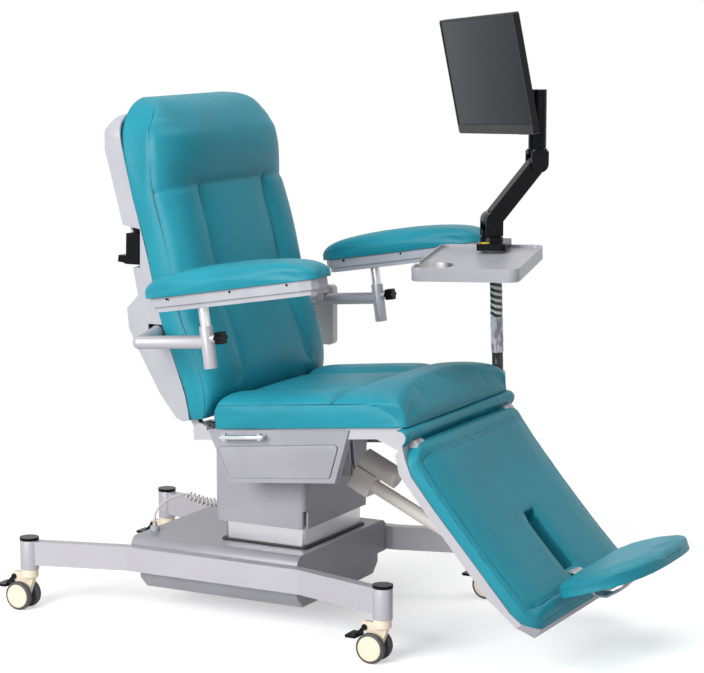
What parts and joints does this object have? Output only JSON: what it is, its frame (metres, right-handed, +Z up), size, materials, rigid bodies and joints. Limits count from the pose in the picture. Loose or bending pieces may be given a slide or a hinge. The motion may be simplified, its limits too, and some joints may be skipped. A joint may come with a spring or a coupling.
{
  "type": "dialysis recliner",
  "caption": "Reclining treatment chair on a wheeled lifting column, with padded seat, back, leg rest and armrests, a side tray on a pole and a screen on a jointed arm",
  "frame": {"origin": "centre of the bounding box's floor face, at rest", "axes": "+X to the seated person's left, -Y the way the chair faces, +Z up"},
  "size_m": [1.012, 1.7244, 1.535],
  "materials": {
    "frame_paint": "satin silver grey paint",
    "shell_plastic": "fine grained moulding",
    "black_plastic": "fine grained moulding",
    "upholstery": "artificial leather with a fine grain",
    "castor_plastic": "smooth beige moulding",
    "castor_tyre": "grey rubber tread on beige hubs",
    "dark_plastic": "smooth moulding",
    "cord_rubber": "smooth cord jacket",
    "bright_steel": "polished"
  },
  "bodies": {
    "base": {"base_frame": "frame_paint", "tube_caps": "black_plastic", "base_cover": "frame_paint", "base_tray": "frame_paint", "inner_column": "frame_paint", "lift_motor": "black_plastic", "cord_socket": "black_plastic", "curly_cord": "cord_rubber"},
    "castor_1": {"castor_fork_1": "castor_plastic"},
    "wheels_1": {"castor_wheels_1": "castor_tyre"},
    "pedal_1": {"castor_brake_1": "dark_plastic"},
    "castor_2": {"castor_fork_2": "castor_plastic"},
    "wheels_2": {"castor_wheels_2": "castor_tyre"},
    "pedal_2": {"castor_brake_2": "dark_plastic"},
    "castor_3": {"castor_fork_3": "castor_plastic"},
    "wheels_3": {"castor_wheels_3": "castor_tyre"},
    "pedal_3": {"castor_brake_3": "dark_plastic"},
    "castor_4": {"castor_fork_4": "castor_plastic"},
    "wheels_4": {"castor_wheels_4": "castor_tyre"},
    "pedal_4": {"castor_brake_4": "dark_plastic"},
    "lift": {"outer_column": "frame_paint", "lift_yoke": "bright_steel"},
    "seat": {"seat_frame": "frame_paint", "side_covers": "frame_paint", "side_handles": "bright_steel", "seat_cushion": "upholstery", "back_drive": "black_plastic", "leg_flap": "black_plastic", "tray_pole": "bright_steel", "pole_wrap": "black_plastic"},
    "tilt_motor": {"tilt_actuator": "castor_plastic"},
    "tilt_ram": {"tilt_rod": "bright_steel"},
    "leg_motor": {"leg_actuator": "castor_plastic"},
    "leg_ram": {"leg_rod": "bright_steel"},
    "back": {"back_frame": "frame_paint", "back_shell": "shell_plastic", "back_cushion": "upholstery"},
    "cpr": {"cpr_lever": "black_plastic"},
    "arms": {"arm_carrier": "frame_paint", "handset": "castor_plastic"},
    "level": {"level_link": "bright_steel"},
    "post_near": {"arm_post_near": "bright_steel"},
    "arm_near": {"arm_tray_near": "shell_plastic", "arm_pad_near": "upholstery"},
    "knob_near": {"clamp_knob_near": "black_plastic"},
    "post_far": {"arm_post_far": "bright_steel"},
    "arm_far": {"arm_tray_far": "shell_plastic", "arm_pad_far": "upholstery"},
    "knob_far": {"clamp_knob_far": "black_plastic"},
    "leg": {"leg_frame": "frame_paint", "leg_pad": "upholstery"},
    "foot": {"foot_bracket": "frame_paint", "foot_pad": "upholstery"},
    "tray": {"tray_table": "shell_plastic", "arm_clamp": "black_plastic"},
    "shoulder": {"arm_shoulder": "black_plastic"},
    "link": {"arm_link": "black_plastic"},
    "head": {"arm_head": "black_plastic"},
    "bracket": {"vesa_bracket": "black_plastic"},
    "screen": {"monitor": "black_plastic"}
  },
  "joints": [
    {"name": "castor_swivel_1", "type": "hinge", "parent": "base", "child": "castor_1", "pos_m": [-0.33, -0.2518, 0.108], "axis": [0, 0, 1], "continuous": true},
    {"name": "wheel_roll_1", "type": "hinge", "parent": "castor_1", "child": "wheels_1", "pos_m": [-0.33, -0.2298, 0.0375], "axis": [1, 0, 0], "continuous": true},
    {"name": "brake_pedal_1", "type": "hinge", "parent": "castor_1", "child": "pedal_1", "pos_m": [-0.33, -0.2078, 0.084], "axis": [1, 0, 0], "range_deg": [-11, 8]},
    {"name": "castor_swivel_2", "type": "hinge", "parent": "base", "child": "castor_2", "pos_m": [0.33, -0.2518, 0.108], "axis": [0, 0, 1], "continuous": true},
    {"name": "wheel_roll_2", "type": "hinge", "parent": "castor_2", "child": "wheels_2", "pos_m": [0.33, -0.2298, 0.0375], "axis": [1, 0, 0], "continuous": true},
    {"name": "brake_pedal_2", "type": "hinge", "parent": "castor_2", "child": "pedal_2", "pos_m": [0.33, -0.2078, 0.084], "axis": [1, 0, 0], "range_deg": [-11, 8]},
    {"name": "castor_swivel_3", "type": "hinge", "parent": "base", "child": "castor_3", "pos_m": [-0.33, 0.7722, 0.108], "axis": [0, 0, 1], "continuous": true},
    {"name": "wheel_roll_3", "type": "hinge", "parent": "castor_3", "child": "wheels_3", "pos_m": [-0.33, 0.7942, 0.0375], "axis": [1, 0, 0], "continuous": true},
    {"name": "brake_pedal_3", "type": "hinge", "parent": "castor_3", "child": "pedal_3", "pos_m": [-0.33, 0.8162, 0.084], "axis": [1, 0, 0], "range_deg": [-11, 8]},
    {"name": "castor_swivel_4", "type": "hinge", "parent": "base", "child": "castor_4", "pos_m": [0.33, 0.7722, 0.108], "axis": [0, 0, 1], "continuous": true},
    {"name": "wheel_roll_4", "type": "hinge", "parent": "castor_4", "child": "wheels_4", "pos_m": [0.33, 0.7942, 0.0375], "axis": [1, 0, 0], "continuous": true},
    {"name": "brake_pedal_4", "type": "hinge", "parent": "castor_4", "child": "pedal_4", "pos_m": [0.33, 0.8162, 0.084], "axis": [1, 0, 0], "range_deg": [-11, 8]},
    {"name": "column_lift", "type": "slide", "parent": "base", "child": "lift", "axis": [0, 0, 1], "range_m": [-0.04, 0.13]},
    {"name": "seat_tilt", "type": "hinge", "parent": "lift", "child": "seat", "pos_m": [0, 0.1772, 0.485], "axis": [-1, 0, 0], "range_deg": [-5.45, 10]},
    {"name": "tilt_motor_hinge", "type": "hinge", "parent": "lift", "child": "tilt_motor", "pos_m": [0.2315, 0.2352, 0.44], "axis": [-1, 0, 0], "range_deg": [-6, 10]},
    {"name": "tilt_rod_hinge", "type": "hinge", "parent": "seat", "child": "tilt_ram", "pos_m": [0.2315, -0.0548, 0.5], "axis": [-1, 0, 0], "range_deg": [-4, 4]},
    {"name": "back_recline", "type": "hinge", "parent": "seat", "child": "back", "pos_m": [0, 0.2802, 0.505], "axis": [-1, 0, 0], "range_deg": [0, 70]},
    {"name": "arm_level", "type": "hinge", "parent": "back", "child": "arms", "pos_m": [0, 0.3932, 0.748], "axis": [-1, 0, 0], "range_deg": [-72, 2]},
    {"name": "level_link_hinge", "type": "hinge", "parent": "seat", "child": "level", "pos_m": [0.208, 0.2982, 0.47382], "axis": [-1, 0, 0], "range_deg": [-2, 72]},
    {"name": "leg_raise", "type": "hinge", "parent": "seat", "child": "leg", "pos_m": [0, -0.3008, 0.517], "axis": [-1, 0, 0], "range_deg": [-8, 53]},
    {"name": "leg_motor_hinge", "type": "hinge", "parent": "seat", "child": "leg_motor", "pos_m": [0, 0.0132, 0.381], "axis": [-1, 0, 0], "range_deg": [-6, 30]},
    {"name": "leg_rod_hinge", "type": "hinge", "parent": "leg", "child": "leg_ram", "pos_m": [0, -0.39286, 0.1888], "axis": [-1, 0, 0], "range_deg": [-30, 6]},
    {"name": "foot_slide", "type": "slide", "parent": "leg", "child": "foot", "axis": [0, 0.6293, 0.7771], "range_m": [0, 0.11]},
    {"name": "cpr_pull", "type": "hinge", "parent": "back", "child": "cpr", "pos_m": [0, 0.4992, 0.926], "axis": [-1, 0, 0], "range_deg": [0, 16]},
    {"name": "arm_height_near", "type": "slide", "parent": "arms", "child": "post_near", "axis": [0, 0.1392, 0.9903], "range_m": [-0.035, 0.06]},
    {"name": "arm_swing_near", "type": "hinge", "parent": "post_near", "child": "arm_near", "pos_m": [-0.444, 0.16873, 0.83612], "axis": [0, 0.1392, 0.9903], "range_deg": [-25, 2]},
    {"name": "knob_turn_near", "type": "hinge", "parent": "arms", "child": "knob_near", "pos_m": [-0.444, 0.12928, 0.77098], "axis": [0, -0.9903, 0.1392], "continuous": true},
    {"name": "arm_height_far", "type": "slide", "parent": "arms", "child": "post_far", "axis": [0, 0.1392, 0.9903], "range_m": [-0.035, 0.06]},
    {"name": "arm_swing_far", "type": "hinge", "parent": "post_far", "child": "arm_far", "pos_m": [0.444, 0.16873, 0.83612], "axis": [0, 0.1392, 0.9903], "range_deg": [-2, 25]},
    {"name": "knob_turn_far", "type": "hinge", "parent": "arms", "child": "knob_far", "pos_m": [0.444, 0.12928, 0.77098], "axis": [0, -0.9903, 0.1392], "continuous": true},
    {"name": "tray_swing", "type": "hinge", "parent": "seat", "child": "tray", "pos_m": [0.3264, -0.24, 0.9306], "axis": [-0.0631, 0.0052, 0.998], "range_deg": [-8, 45]},
    {"name": "arm_pan", "type": "hinge", "parent": "tray", "child": "shoulder", "pos_m": [0.3264, -0.2298, 0.957], "axis": [0, 0, 1], "range_deg": [-60, 60]},
    {"name": "arm_lift", "type": "hinge", "parent": "shoulder", "child": "link", "pos_m": [0.3264, -0.2298, 1], "axis": [-0.7349, -0.6782, 0], "range_deg": [-20, 30]},
    {"name": "head_level", "type": "hinge", "parent": "link", "child": "head", "pos_m": [0.40879, -0.31908, 1.14478], "axis": [-0.7349, -0.6782, 0], "range_deg": [-32, 22]},
    {"name": "screen_pan", "type": "hinge", "parent": "head", "child": "bracket", "pos_m": [0.40879, -0.31908, 1.25], "axis": [0, 0, 1], "range_deg": [-45, 45]},
    {"name": "screen_tilt", "type": "hinge", "parent": "bracket", "child": "screen", "pos_m": [0.34599, -0.26032, 1.345], "axis": [-0.6833, -0.7302, 0], "range_deg": [-15, 15]}
  ],
  "couplings": [
    {"joint": "tilt_motor_hinge", "follows": "seat_tilt", "ratio": 0.7755},
    {"joint": "tilt_rod_hinge", "follows": "seat_tilt", "ratio": -0.2245},
    {"joint": "arm_level", "follows": "back_recline", "ratio": -1},
    {"joint": "level_link_hinge", "follows": "back_recline", "ratio": 1},
    {"joint": "leg_motor_hinge", "follows": "leg_raise", "ratio": 0.4985},
    {"joint": "leg_rod_hinge", "follows": "leg_raise", "ratio": -0.5015},
    {"joint": "head_level", "follows": "arm_lift", "ratio": -1}
  ]
}
